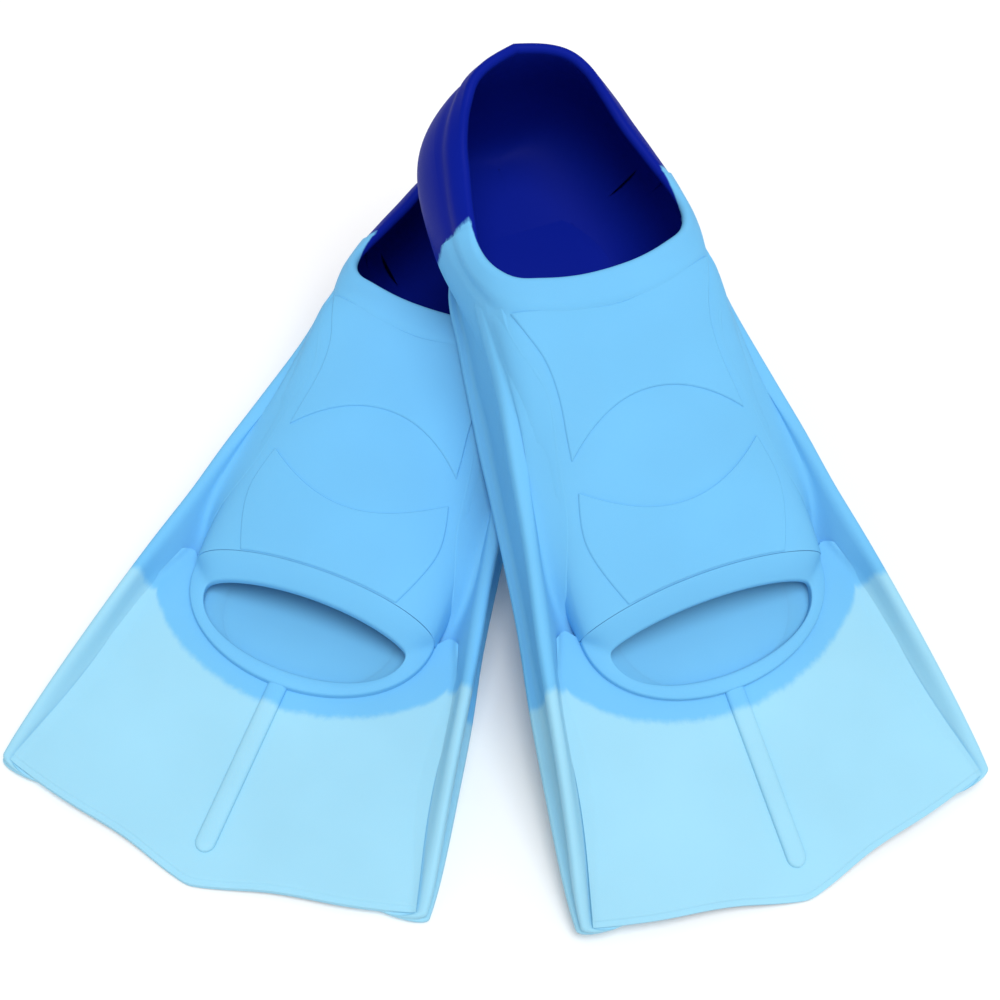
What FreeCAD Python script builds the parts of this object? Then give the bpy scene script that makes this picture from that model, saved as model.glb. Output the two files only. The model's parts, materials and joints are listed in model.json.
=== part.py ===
"""A pair of short-blade silicone swim fins, the right fin lying with its heel over the left one.

Each fin is drawn in its own frame, in millimetres: +Y runs from the heel (y = 0) to the blade's tip,
+X to the side, +Z up from the surface that the rails' lower flanges rest on. The two fins are the
same shape, so every piece is made once and then placed twice.
"""
import FreeCAD, Part
import math
import os

# ---- driving dimensions, millimetres ------------------------------------------------------------
FIN_LENGTH = 356.0              # heel to the middle of the trailing edge
BLADE_CORNER = (92.0, 335.0)    # where a blade corner is, to the side and along
WALL = 4.0                      # foot pocket wall
SOLE_THICK = 6.0
DECK_START = (224.5, 25.6)      # (y, z) of the deck's top, at the rear end of the web
DECK_SLOPE = 0.168              # the deck drops this much for each millimetre towards the tip
DECK_THICK = 4.0
OPENING_FRONT = 101.0           # front edge of the ankle opening
COLLAR_RAISE = 1.8              # how far the collar band stands out of the pocket
COLLAR_FRONT = 116.0            # crease in front of the collar band
PANEL_RAISE = 1.0               # how far the instep panels stand out
SPLIT_BOTTOM = (46.0, 7.0)      # (y, z) where the heel section meets the rest, at the sole
SPLIT_TOP = (66.0, 75.0)        # and at the collar
FLEX_LINE = (276.0, 14.0)       # (y, z) of the line that the blade flexes about
FLEX_ANGLE = 20.0               # degrees of flex, each way
JOINT_GAP = 0.3
RIM_BACK = 226.0                # rear edge of the toe rim, behind which the instep begins
RIM_HALF = 54.7                 # toe rim's outer half width, on the deck
RIM_FRONT = 269.5               # toe rim's front, on the deck
SLOT_HALF = 45.0                # toe opening's half width
SLOT_FRONT = 262.5
SLOT_CORNER = 240.0             # where the toe opening's corners are
SLOT_LIP = 234.7                # the upper lip's edge, in the middle
RIB_WIDTH = 8.5
RIB_RAISE = 2.2
RIB_END = 343.0

LEFT_HEADING = 163.2            # degrees about +Z from the fin's own frame
RIGHT_HEADING = -152.6
RIGHT_PITCH = 16.4              # the right fin slopes down to its tip
RIGHT_HEEL = (-12.9, -21.1, 100.1)   # the right fin's heel point, from the left fin's
PAIR_SHIFT = (-15.75, 173.0, 0.0)    # moves the middle of the pair over the origin

# Foot pocket outside: y, half width, bottom, height of the widest place, top, squareness.
POCKET = (
    (0.0, 13.0, 24.0, 50.0, 90.0, 2.6),
    (4.0, 25.0, 13.0, 48.0, 92.0, 2.6),
    (13.0, 36.0, 9.0, 46.0, 93.0, 2.6),
    (28.0, 44.0, 7.0, 45.0, 93.0, 2.8),
    (50.0, 48.0, 7.0, 44.0, 90.0, 3.2),
    (75.0, 49.5, 7.0, 42.0, 84.0, 3.6),
    (104.0, 50.0, 7.5, 38.0, 80.0, 4.0),
    (135.0, 51.5, 8.0, 34.0, 69.5, 4.0),
    (165.0, 54.0, 9.0, 30.0, 61.0, 3.8),
    (195.0, 56.5, 10.5, 26.0, 52.8, 3.6),
    (225.0, 55.5, 12.0, 22.0, 44.0, 3.2),
    (243.0, 49.0, 13.0, 19.5, 33.0, 2.8),
    (257.0, 35.0, 13.5, 18.0, 25.0, 2.4),
    (266.5, 19.0, 13.8, 17.0, 21.0, 2.2),
)

# Side rail: y, outer flange to the side and up, crest to the side and up, foot of the inner face.
RAIL = (
    (48.0, 41.0, 12.0, 41.5, 26.0, 36.0, 24.0),
    (80.0, 47.0, 7.0, 49.0, 46.0, 42.0, 44.0),
    (110.0, 52.5, 2.5, 51.0, 55.0, 45.0, 50.0),
    (150.0, 59.5, -0.6, 56.0, 52.0, 49.0, 45.0),
    (185.0, 66.0, -0.6, 62.5, 47.0, 52.0, 38.0),
    (224.0, 73.5, -0.6, 70.0, 38.0, 56.0, 23.5),
    (240.0, 77.0, -0.6, 73.5, 35.0, 65.5, 21.0),
    (276.0, 84.5, -0.6, 80.5, 27.0, 72.5, 15.0),
    (310.0, 92.0, -0.6, 87.5, 16.5, 79.0, 9.4),
    (332.0, 95.0, -0.6, 91.5, 8.5, 86.5, 5.8),
)

# The ankle opening's edge from the heel round one side to the front: side, along.
ANKLE_EDGE = ((0.0, 4.0), (16.0, 7.0), (26.0, 17.0), (34.0, 34.0), (41.0, 56.0), (44.0, 76.0), (38.0, 90.0),
              (22.0, 98.0), (0.0, OPENING_FRONT))
# Side view of the topline: along, up.
TOPLINE = ((-20.0, 86.4), (10.0, 86.4), (20.0, 82.0), (32.0, 76.0), (46.0, 73.4), (62.0, 73.0), (82.0, 77.0), (104.0, 81.0))
COLLAR_DEPTH = 14.0


# ---- helpers ------------------------------------------------------------------------------------
def vec(x, y, z=0.0):
    return FreeCAD.Vector(x, y, z)


def smooth(points, closed=False):
    """A smooth curve through points."""
    curve = Part.BSplineCurve()
    curve.interpolate(points, PeriodicFlag=closed)
    return curve.toShape()


def prism(edges, direction):
    """The solid that a flat closed outline sweeps along direction."""
    return Part.Face(Part.Wire(edges)).extrude(direction)


def side_prism(outline, half=150.0):
    """A solid across the fin from an outline of (along, up) points."""
    points = [vec(-half, y, z) for y, z in outline]
    return prism(Part.makePolygon(points + points[:1]).Edges, vec(2 * half, 0, 0))


def plan_prism(edges, low=-20.0, high=130.0):
    """An upright solid from edges drawn at z = 0."""
    solid = prism(edges, vec(0, 0, high - low))
    solid.translate(vec(0, 0, low))
    return solid


def main_solid(shape):
    """The largest solid of a shape, without the slivers that a cut leaves."""
    return max(shape.Solids, key=lambda solid: solid.Volume)


def pocket_section(y, half, low, middle, top, square, grow):
    """A rounded section of the foot pocket, squarer as `square` grows."""
    points = []
    for step in range(16):
        angle = 2 * math.pi * (step + 0.5) / 16
        across = math.copysign(abs(math.cos(angle)) ** (2 / square), math.cos(angle))
        rise = math.copysign(abs(math.sin(angle)) ** (2 / square), math.sin(angle))
        reach = (top - middle if rise > 0 else middle - low) + grow
        points.append(vec((half + grow) * across, y, middle + reach * rise))
    return Part.Wire([smooth(points, closed=True)])


def pocket_solid(grow=0.0):
    return Part.makeLoft([pocket_section(*row, grow) for row in POCKET], True, False)


def cavity_solid():
    """The room for the foot, from the heel to the toe opening."""
    wires = []
    for y, half, low, middle, top, square in POCKET[1:-1]:
        floor = low + SOLE_THICK
        roof = max(top - WALL, floor + 5.0)
        waist = 0.5 * (floor + roof)
        wires.append(pocket_section(y + 1.0, half - WALL, floor, waist, roof, square, 0.0))
    return Part.makeLoft(wires, True, False)


def ankle_prism():
    right = [vec(x, y) for x, y in ANKLE_EDGE]
    left = [vec(-x, y) for x, y in reversed(ANKLE_EDGE[1:-1])]
    return plan_prism([smooth(right + left, closed=True)], low=40.0)


def topline_prism():
    return side_prism(TOPLINE + ((104.0, 120.0), (400.0, 120.0), (400.0, -10.0), (-20.0, -10.0)))


def collar_prism():
    lower = [(y, z - COLLAR_DEPTH) for y, z in TOPLINE]
    return side_prism(lower + [(COLLAR_FRONT, 69.0), (COLLAR_FRONT, 120.0), (-20.0, 120.0)])


def half_ellipse(half, back, front):
    """Edges round an upright half moon: a curved front and a straight back."""
    points = []
    for step in range(13):
        angle = math.pi * step / 12
        points.append(vec(half * math.cos(angle), back + (front - back) * math.sin(angle) ** 0.94))
    return [smooth(points), Part.makeLine(points[-1], points[0])]


def toe_slot_prism():
    """The half-moon toe opening, cut down to the footbed."""
    corner_a = vec(SLOT_HALF, SLOT_CORNER)
    corner_b = vec(-SLOT_HALF, SLOT_CORNER)
    front = half_ellipse(SLOT_HALF, SLOT_CORNER, SLOT_FRONT)[0]
    lip = Part.Arc(corner_b, vec(0, SLOT_LIP), corner_a).toShape()
    return plan_prism([front, lip], low=19.0)


def behind_split(gap):
    """Everything on the heel's side of the split plane, `gap` away from it."""
    (y0, z0), (y1, z1) = SPLIT_BOTTOM, SPLIT_TOP
    slope = (y1 - y0) / (z1 - z0)
    low, high = -30.0, 130.0
    ends = [(y0 + slope * (z - z0) - gap, z) for z in (low, high)]
    return side_prism([(-60.0, low), ends[0], ends[1], (-60.0, high)])


def ahead_of_flex():
    """The blade's side of the flex line, opened into a wedge so that it can flex both ways."""
    y0, z0 = FLEX_LINE
    open_by = math.tan(math.radians(FLEX_ANGLE + 1.0)) * 60.0
    start = y0 + JOINT_GAP
    return side_prism([(start, z0), (start + open_by, z0 + 60.0), (420.0, z0 + 60.0), (420.0, z0 - 60.0),
                       (start + open_by, z0 - 60.0)])


def behind_flex():
    return side_prism([(-60.0, -60.0), (FLEX_LINE[0] - JOINT_GAP, -60.0), (FLEX_LINE[0] - JOINT_GAP, 150.0),
                       (-60.0, 150.0)])


def rail_solid(side):
    """A side rail: a rounded crest on top, a hollowed outer face, and a flange trimmed flat on the floor."""
    wires = []
    for y, flange, low, crest, crest_up, foot, foot_up in RAIL:
        groove_up = low + max(0.45 * (crest_up - low), 3.6)
        outline = ((flange, low), (flange, low + 3.4), (min(flange, crest) - 3.5, groove_up),
                   (crest + 2.5, crest_up - 2.5), (crest, crest_up), (crest - 2.5, crest_up - 0.6),
                   (foot, foot_up), (min(foot, flange - 8.0), low))
        points = [vec(side * x, y, z) for x, z in outline]
        wires.append(Part.makePolygon(points + points[:1]))
    floor = Part.makeBox(300.0, FIN_LENGTH + 60.0, 20.0, vec(-150.0, -30.0, -20.0))
    return Part.makeLoft(wires, True, True).cut(floor)


def deck_top(y):
    return DECK_START[1] - DECK_SLOPE * (y - DECK_START[0])


def deck_solid(raise_by=0.0, thick=DECK_THICK):
    """The flat web between the rails, out to the trailing edge."""
    back, front = DECK_START[0] - 6.0, FIN_LENGTH + 5.0
    thin = 3.0 if raise_by == 0.0 else 0.5
    slab = side_prism([(back, deck_top(back) + raise_by), (front, deck_top(front) + raise_by),
                       (front, deck_top(front) - thin), (back, deck_top(back) - thick)])
    corner_x, corner_y = BLADE_CORNER
    quarter = [vec(0, FIN_LENGTH), vec(26, 348.6), vec(56, 342.3), vec(corner_x - 4, corner_y + 2)]
    edge_right = smooth(quarter)
    edge_left = smooth([vec(-p.x, p.y) for p in reversed(quarter)])
    end = vec(corner_x, corner_y - 4)
    corners = [quarter[-1], end, vec(66, back), vec(-66, back), vec(-end.x, end.y), vec(4 - corner_x, corner_y + 2)]
    sides = Part.makePolygon(corners).Edges
    return slab.common(plan_prism([edge_right] + sides + [edge_left]))


def upper_panel_prism():
    """Outline of the instep's upper panel: waisted sides, and a lower edge arched towards the heel."""
    right = smooth([vec(44, 112), vec(37, 127), vec(36, 145), vec(39, 168)])
    arch = smooth([vec(39, 168), vec(22, 156.5), vec(0, 149.5), vec(-22, 156.5), vec(-39, 168)])
    left = smooth([vec(-39, 168), vec(-36, 145), vec(-37, 127), vec(-44, 112)])
    top = Part.Arc(vec(-44, 112), vec(0, COLLAR_FRONT + 2.5), vec(44, 112)).toShape()
    return plan_prism([right, arch, left, top], low=45.0)


def lower_panel_prism():
    """Outline of the lower panel, between the low oval and the toe rim."""
    right = smooth([vec(40, 180), vec(43.5, 196), vec(41, 211), vec(36, RIM_BACK - 0.5)])
    base = Part.makeLine(vec(36, RIM_BACK - 0.5), vec(-36, RIM_BACK - 0.5))
    left = smooth([vec(-36, RIM_BACK - 0.5), vec(-41, 211), vec(-43.5, 196), vec(-40, 180)])
    arch = smooth([vec(-40, 180), vec(-22, 193.5), vec(0, 197), vec(22, 193.5), vec(40, 180)])
    return plan_prism([right, base, left, arch], low=30.0)


# ---- one fin ------------------------------------------------------------------------------------
def make_fin():
    """Every piece of one fin, by name, in the fin's own frame."""
    outer = pocket_solid()
    cavity = cavity_solid()
    ankle = ankle_prism()
    below_top = topline_prism()
    heel_side = behind_split(JOINT_GAP / 2)
    not_front = behind_split(-JOINT_GAP / 2)
    collar_zone = collar_prism()
    rim_zone = side_prism([(RIM_BACK, -10.0), (RIM_BACK, 130.0), (400.0, 130.0), (400.0, -10.0)])
    sole_zone = side_prism([(-20.0, -10.0), (-20.0, 15.0), (150.0, 16.5), (266.0, 20.5), (300.0, 20.5), (300.0, -10.0)])

    shell = outer.cut(cavity).cut(ankle).common(below_top)
    band = pocket_solid(COLLAR_RAISE).cut(cavity).cut(ankle).common(below_top).common(collar_zone)
    walls = shell.cut(collar_zone)
    front_walls = walls.cut(not_front)
    upper = front_walls.cut(sole_zone)

    rails = {side: rail_solid(side).cut(outer).cut(not_front) for side in (1, -1)}
    deck = deck_solid().cut(outer).cut(rails[1]).cut(rails[-1])
    rib = deck_solid(RIB_RAISE, 0.0).common(Part.makeBox(RIB_WIDTH, RIB_END - 200.0, 80.0, vec(-RIB_WIDTH / 2, 200.0, -20)))
    rib = rib.cut(deck).cut(outer)

    pieces = {
        "heel_cup": walls.common(heel_side),
        "ankle_collar_rear": band.common(heel_side),
        "ankle_collar_front": band.cut(not_front),
        "foot_upper": upper.cut(rim_zone),
        "upper_instep_panel": pocket_solid(PANEL_RAISE).cut(outer).common(upper_panel_prism()).cut(collar_zone),
        "lower_instep_panel": pocket_solid(PANEL_RAISE).cut(outer).common(lower_panel_prism()),
        "footbed": front_walls.common(sole_zone),
        "toe_rim": upper.common(rim_zone).cut(toe_slot_prism()),
        "blade_root": deck.common(behind_flex()),
        "blade_panel": deck.common(ahead_of_flex()),
        "blade_rib": rib.common(ahead_of_flex()),
    }
    for side, name in ((1, "a"), (-1, "b")):
        pieces["side_rail_rear_" + name] = rails[side].common(behind_flex())
        pieces["side_rail_front_" + name] = rails[side].common(ahead_of_flex())
    return {name: main_solid(shape) for name, shape in pieces.items()}


def placed(shape, heading, pitch, place):
    """A copy of a fin-frame shape, tipped about the heel, turned about +Z and moved."""
    copy = shape.copy()
    copy.rotate(vec(0, 0, 0), vec(1, 0, 0), -pitch)
    copy.rotate(vec(0, 0, 0), vec(0, 0, 1), heading)
    copy.translate(vec(*place))
    copy.translate(vec(*PAIR_SHIFT))
    return copy


fin = make_fin()
os.makedirs("parts", exist_ok=True)
for prefix, heading, pitch, place in (("left", LEFT_HEADING, 0.0, (0.0, 0.0, 0.0)),
                                      ("right", RIGHT_HEADING, RIGHT_PITCH, RIGHT_HEEL)):
    for name, shape in fin.items():
        placed(shape, heading, pitch, place).exportStep("parts/" + prefix + "_" + name + ".step")
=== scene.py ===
"""Builds the looks of a pair of three-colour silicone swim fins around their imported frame.

Every surface is worked out in a fin's own frame, in millimetres: +Y runs from heel to tip, +X to the
side and +Z up. fin_placement() reads where each of the two fins lies from its hinges in the frame.
"""
import json
import math

import bmesh
import bpy
import numpy as np
from mathutils import Matrix, Vector


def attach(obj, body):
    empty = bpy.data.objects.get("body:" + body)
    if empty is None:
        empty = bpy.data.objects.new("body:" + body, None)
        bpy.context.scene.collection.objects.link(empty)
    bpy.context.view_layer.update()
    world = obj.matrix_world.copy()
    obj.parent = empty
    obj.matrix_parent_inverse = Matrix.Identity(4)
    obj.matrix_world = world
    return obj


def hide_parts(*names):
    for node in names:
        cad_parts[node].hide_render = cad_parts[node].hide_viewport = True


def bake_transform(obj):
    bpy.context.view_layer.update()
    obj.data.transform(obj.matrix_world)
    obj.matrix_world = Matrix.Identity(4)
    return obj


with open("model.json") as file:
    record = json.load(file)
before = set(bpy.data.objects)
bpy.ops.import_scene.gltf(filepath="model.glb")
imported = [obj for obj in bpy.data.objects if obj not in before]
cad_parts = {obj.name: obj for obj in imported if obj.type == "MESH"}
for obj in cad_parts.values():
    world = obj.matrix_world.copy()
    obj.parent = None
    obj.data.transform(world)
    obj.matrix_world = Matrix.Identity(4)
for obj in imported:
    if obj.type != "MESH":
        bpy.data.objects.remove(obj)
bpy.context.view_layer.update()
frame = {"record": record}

bl_info = {
    "name": "Swim Fins",
    "version": (1, 0, 0),
    "blender": (4, 5, 0),
    "location": "3D View > Sidebar > Swim Fins",
    "description": "Builds a pair of short-blade silicone swim fins and a plain studio",
    "category": "Add Mesh",
}

MM = 0.001
FINS = ("left", "right")
SIDES = {"a": 1.0, "b": -1.0}
FLEX_POINT = (276.0, 14.0)      # the blade hinge's (y, z) in a fin's own frame
HEEL_POINT = (46.0, 6.5)        # the heel hinge's

# Foot pocket, by distance from the heel: half width, bottom, height of the widest place, top,
# squareness of the upper half.
POCKET = np.array((
    (40.0, 50.5, 7.0, 45.0, 75.5, 2.7),
    (54.0, 51.8, 7.0, 46.4, 77.6, 2.75),
    (66.0, 52.0, 7.0, 47.3, 79.5, 2.8),
    (77.0, 51.2, 7.0, 48.5, 83.2, 2.9),
    (85.0, 50.6, 7.0, 49.2, 85.0, 3.05),
    (91.0, 50.2, 7.2, 50.0, 83.6, 3.25),
    (97.0, 50.2, 7.3, 50.5, 81.4, 3.5),
    (102.0, 50.0, 7.4, 51.0, 80.1, 3.8),
    (108.0, 50.0, 7.6, 51.0, 79.2, 4.2),
    (118.0, 50.2, 7.8, 51.0, 75.6, 4.4),
    (135.0, 50.8, 8.2, 47.0, 69.3, 3.8),
    (152.0, 52.2, 8.8, 43.0, 64.2, 3.2),
    (175.0, 54.4, 9.6, 37.0, 58.2, 2.8),
    (195.0, 55.8, 10.6, 31.5, 53.0, 2.8),
    (212.0, 55.9, 11.6, 27.5, 48.4, 3.0),
    (231.0, 54.8, 12.4, 24.5, 42.4, 3.2),
    (262.0, 50.0, 13.0, 20.0, 33.0, 3.2),
))
LOWER_SQUARENESS = 2.5

# Side rail, by distance from the heel: outer edge of the flange, underside, outer edge of the crest,
# height and width of the crest, the valley inside it across and up.
RAIL = np.array((
    (46.0, 32.0, 14.0, 41.0, 34.0, 3.0, 41.0, 36.0),
    (58.0, 41.0, 11.4, 45.0, 43.4, 3.0, 44.6, 46.0),
    (68.0, 45.4, 9.3, 46.6, 49.0, 3.0, 46.0, 52.0),
    (84.0, 48.0, 6.6, 48.8, 58.6, 3.4, 47.6, 62.0),
    (100.0, 50.7, 4.2, 51.4, 60.2, 4.0, 49.0, 65.0),
    (120.0, 54.0, 1.8, 53.4, 57.2, 5.6, 49.6, 62.6),
    (135.0, 56.6, 0.7, 55.6, 55.0, 7.0, 50.8, 59.0),
    (150.0, 58.9, 0.2, 58.4, 52.6, 7.8, 53.0, 54.0),
    (165.0, 61.4, 0.0, 61.2, 50.2, 7.2, 55.6, 48.6),
    (185.0, 65.0, 0.0, 64.9, 47.0, 5.8, 58.2, 42.0),
    (205.0, 68.8, 0.0, 68.8, 42.0, 5.2, 60.0, 33.0),
    (224.0, 73.0, 0.0, 73.0, 38.0, 5.2, 60.4, 22.4),
    (240.0, 77.0, 0.0, 76.2, 35.0, 5.0, 67.0, 20.6),
    (276.0, 84.6, 0.0, 83.0, 27.0, 4.6, 74.0, 15.0),
    (310.0, 91.2, 0.0, 89.6, 16.8, 4.2, 81.0, 9.4),
    (330.0, 94.0, 0.3, 93.0, 9.4, 4.0, 86.6, 6.2),
    (339.0, 94.6, 0.6, 93.6, 6.6, 3.0, 89.0, 4.8),
))

# Edge of the ankle opening under its rolled lip: across, along and up. The heel's half runs from the
# back to the side, the front's from there to the middle of the instep.
HEEL_EDGE = np.array((
    (0.0, -1.2, 84.0), (12.0, 2.2, 84.2), (22.8, 8.4, 83.0), (27.4, 14.6, 81.2), (30.4, 19.8, 78.4),
    (32.5, 25.0, 75.7), (34.2, 30.0, 73.7), (36.5, 40.0, 71.5), (39.3, 50.0, 70.5), (42.0, 60.0, 70.1),
    (43.7, 65.7, 70.1),
))
ANKLE_EDGE = np.array((
    (43.7, 65.7), (44.9, 70.3), (45.8, 76.6), (45.4, 83.4), (43.0, 90.4), (38.8, 95.8), (31.4, 99.6),
    (20.6, 102.8), (9.0, 104.5), (0.0, 104.8),
))
HEEL_BOTTOM_Y = 46.0            # where the heel section meets the rest, at the sole
HEEL_COLLAR_ROWS = 20           # rows of the heel's grid that make its half of the collar
COLLAR_WIDTH = 9.5              # at the sides and back; it is wider over the instep
SOLE_ANGLE = math.radians(-66)  # section angle of the sole's edge

DECK_START = (224.5, 25.6)      # distance from the heel and height
DECK_SLOPE = 0.168
TRAILING_EDGE = np.array((
    (0.0, 356.3), (12.0, 352.9), (26.0, 348.6), (40.0, 345.6), (56.0, 342.9), (74.0, 338.9), (92.0, 334.2),
))
RIM_HALF, RIM_BACK, RIM_FRONT = 54.8, 231.0, 269.5
RIM_STEPS = 90                  # places along each half of the rim
LIP_TOP = 225.0                 # rear edge of the rim's upper lip, in the middle
SLOT_HALF, SLOT_BACK, SLOT_FRONT, SLOT_LIP = 45.6, 240.0, 262.8, 234.7
POCKET_LEAVES_RAIL = (208.0, 226.0)
RAIL_START, RAIL_SPLIT, RAIL_TAPER, RAIL_END = 46.0, 245.0, 334.0, 339.0
RIB_START, RIB_TIP, RIB_NOSE = 266.0, 339.0, 4.3

# The pale blade begins along a crescent: its rear, how far it bulges forward and its half width.
ZONE_REAR, ZONE_BULGE, ZONE_HALF, ZONE_POWER = 246.5, 30.5, 66.0, 0.75
ZONE_GRID_HALF = 69.0           # where the crescent's grid meets the rail

# Where a bend would start and end, as points on the fin's middle line; nothing bends the pieces.
BLADE_BEND = np.array(((0, 270.0, 18.0), (0, 340.0, 6.0)))
HEEL_BEND = np.array(((0, 50.0, 20.6), (0, -7.0, 37.4)))


# ---- curves and surfaces ------------------------------------------------------------------------
def spline(knots, values, at):
    """Natural cubic spline: second derivatives m solve the usual tridiagonal system, then each
    span is the cubic that matches the end values and end second derivatives. Straight outside."""
    x, v, at = np.asarray(knots, float), np.asarray(values, float), np.asarray(at, float)
    h = np.diff(x)
    n = len(x)
    system = np.eye(n)
    right = np.zeros(n)
    inner = np.arange(1, n - 1)
    system[inner, inner - 1] = h[:-1]
    system[inner, inner] = 2 * (h[:-1] + h[1:])
    system[inner, inner + 1] = h[1:]
    right[1:-1] = 6 * np.diff(np.diff(v) / h)
    m = np.linalg.solve(system, right)
    inside = np.clip(at, x[0], x[-1])
    k = np.clip(np.searchsorted(x, inside) - 1, 0, n - 2)
    a = (x[k + 1] - inside) / h[k]
    b = 1 - a
    value = a * v[k] + b * v[k + 1] + ((a ** 3 - a) * m[k] + (b ** 3 - b) * m[k + 1]) * h[k] ** 2 / 6
    first = (v[1] - v[0]) / h[0] - h[0] * (2 * m[0] + m[1]) / 6
    last = (v[-1] - v[-2]) / h[-1] + h[-1] * (m[-2] + 2 * m[-1]) / 6
    before = np.where(at < x[0], (at - x[0]) * first, 0)
    return value + before + np.where(at > x[-1], (at - x[-1]) * last, 0)


def smoothstep(low, high, value):
    """0 below low, 1 above high, and 3t^2 - 2t^3 between them."""
    t = np.clip((value - low) / (high - low), 0.0, 1.0)
    return t * t * (3 - 2 * t)


def column(table, index, y):
    """One column of a table, smoothly read off at the distances y from the heel."""
    return spline(table[:, 0], table[:, index], y)


def deck_top(y):
    """Height of the deck's top: a straight slope down to the tip."""
    return DECK_START[1] - DECK_SLOPE * (y - DECK_START[0])


def pocket_point(angle, y):
    """A point of the foot pocket's outside. The section at y is a superellipse about the widest
    height: (|x|/w)^n + (|z - z0|/h)^n = 1, at `angle` radians up from the side."""
    half, low, widest, top, upper = (column(POCKET, k, y) for k in range(1, 6))
    n = np.where(angle > 0, upper, LOWER_SQUARENESS)
    c, s = np.cos(angle), np.sin(angle)
    reach = (np.abs(c) ** n + np.abs(s) ** n) ** (-1 / n)
    height = np.where(angle > 0, top - widest, widest - low)
    return np.stack(np.broadcast_arrays(half * c * reach, y, widest + height * s * reach), -1)


def pocket_top(x, y):
    """Height of the pocket's upper outside above a point (x, y)."""
    half, _, widest, top, n = (column(POCKET, k, y) for k in range(1, 6))
    ratio = np.clip(np.abs(x) / half, 0, 0.9999)
    return widest + (top - widest) * (1 - ratio ** n) ** (1 / n)


def pocket_side(z, y):
    """Half width of the pocket's outside at a height z."""
    half, low, widest, top, n = (column(POCKET, k, y) for k in range(1, 6))
    # Above or below the widest place, as a share of the section's height there.
    ratio = np.where(z > widest, (z - widest) / (top - widest), (widest - z) / (widest - low))
    return half * (1 - np.clip(ratio, 0, 0.98) ** n) ** (1 / n)


def beside_pocket(y):
    """1 where the rail runs along the pocket, smoothly 0 ahead of it."""
    return 1 - smoothstep(*POCKET_LEAVES_RAIL, y)


def hidden_side(z, y):
    """The pocket's side at a height z for as long as there is a pocket, then far inside."""
    beside = beside_pocket(y)
    return pocket_side(z, np.minimum(y, RIM_BACK)) * beside - 60.0 * (1 - beside)


def pocket_angle(x, y):
    """The section angle whose point on the upper outside lies at x."""
    half, n = column(POCKET, 1, y), column(POCKET, 5, y)
    ratio = np.clip(np.abs(x) / half, 0, 0.9999)
    return np.arctan2((1 - ratio ** n) ** (1 / n), ratio)


def surface_normals(grid):
    """Unit normals of a grid of points: the cross product of its two directions."""
    du = np.gradient(grid, axis=1)
    dv = np.gradient(grid, axis=0)
    n = np.cross(du, dv)
    return n / np.maximum(np.linalg.norm(n, axis=-1, keepdims=True), 1e-9)


def path_lengths(grid):
    """Distance along each column of a grid from its first row."""
    steps = np.linalg.norm(np.diff(grid, axis=0), axis=-1)
    return np.vstack([np.zeros(grid.shape[1]), np.cumsum(steps, axis=0)])


def even_path(points, at):
    """Points of a smooth curve through `points`, at fractions `at` of its length."""
    reach = np.concatenate([[0], np.cumsum(np.linalg.norm(np.diff(points, axis=0), axis=1))])
    return np.stack([spline(reach / reach[-1], column_of, at) for column_of in points.T], -1)


def rounded_lip(outer, inner, rows=5):
    """Rows that close the gap between the first rows of two grids with a half round. The middle of
    the gap is moved by half its width, out along the surface: centre + across cos t + out sin t."""
    centre = (outer[0] + inner[0]) / 2
    across = (outer[0] - inner[0]) / 2
    out = outer[0] - outer[1]
    out -= across * np.sum(out * across, -1, keepdims=True) / np.sum(across * across, -1, keepdims=True)
    length = np.maximum(np.linalg.norm(out, axis=-1, keepdims=True), 1e-9)
    out *= np.linalg.norm(across, axis=-1, keepdims=True) / length
    turn = np.linspace(0, math.pi, rows + 2)[1:-1, None, None]
    return centre + across * np.cos(turn) + out * np.sin(turn)


# ---- meshes -------------------------------------------------------------------------------------
def fin_placement(fin):
    """The matrix from a fin's own frame to the scene. Both hinges lie along the fin's +X, and the
    line between them, turned by its known slope, gives +Y and +Z."""
    joints = {joint["name"]: joint for joint in frame["record"]["behaviour"]["joints"]}
    flex, heel = joints[fin + "_blade_flex"], joints[fin + "_heel_pull"]
    across = Vector(flex["axis"])
    line = (Vector(flex["pos_m"]) - Vector(heel["pos_m"])).normalized()
    normal = across.cross(line)
    slope = math.atan2(FLEX_POINT[1] - HEEL_POINT[1], FLEX_POINT[0] - HEEL_POINT[0])
    along = line * math.cos(slope) - normal * math.sin(slope)
    up = line * math.sin(slope) + normal * math.cos(slope)
    turn = Matrix((across, along, up)).transposed()
    origin = Vector(flex["pos_m"]) - turn @ Vector((0, FLEX_POINT[0], FLEX_POINT[1])) * MM
    return np.array(turn), np.array(origin)


PLACEMENT = {fin: fin_placement(fin) for fin in FINS}


def to_scene(fin, points):
    """Fin-frame millimetres to scene metres."""
    turn, origin = PLACEMENT[fin]
    return points @ turn.T * MM + origin


def make_piece(name, fin, points, faces, material, inside=None):
    """A finished mesh object at the origin. Its vertices carry their fin-frame place, in
    millimetres, as the attribute "fin", and whether they face into the pocket, as "inside"; the
    colour zones follow both."""
    mesh = bpy.data.meshes.new(name)
    mesh.from_pydata(to_scene(fin, points), [], faces)
    attribute = mesh.attributes.new("fin", "FLOAT_VECTOR", "POINT")
    attribute.data.foreach_set("vector", points.astype(np.float32).ravel())
    attribute = mesh.attributes.new("inside", "FLOAT", "POINT")
    attribute.data.foreach_set("value", np.zeros(len(points)) if inside is None else inside)
    piece = bpy.data.objects.new(name, mesh)
    bpy.context.scene.collection.objects.link(piece)
    tidy_mesh(mesh)
    mesh.materials.append(material)
    return piece


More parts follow.
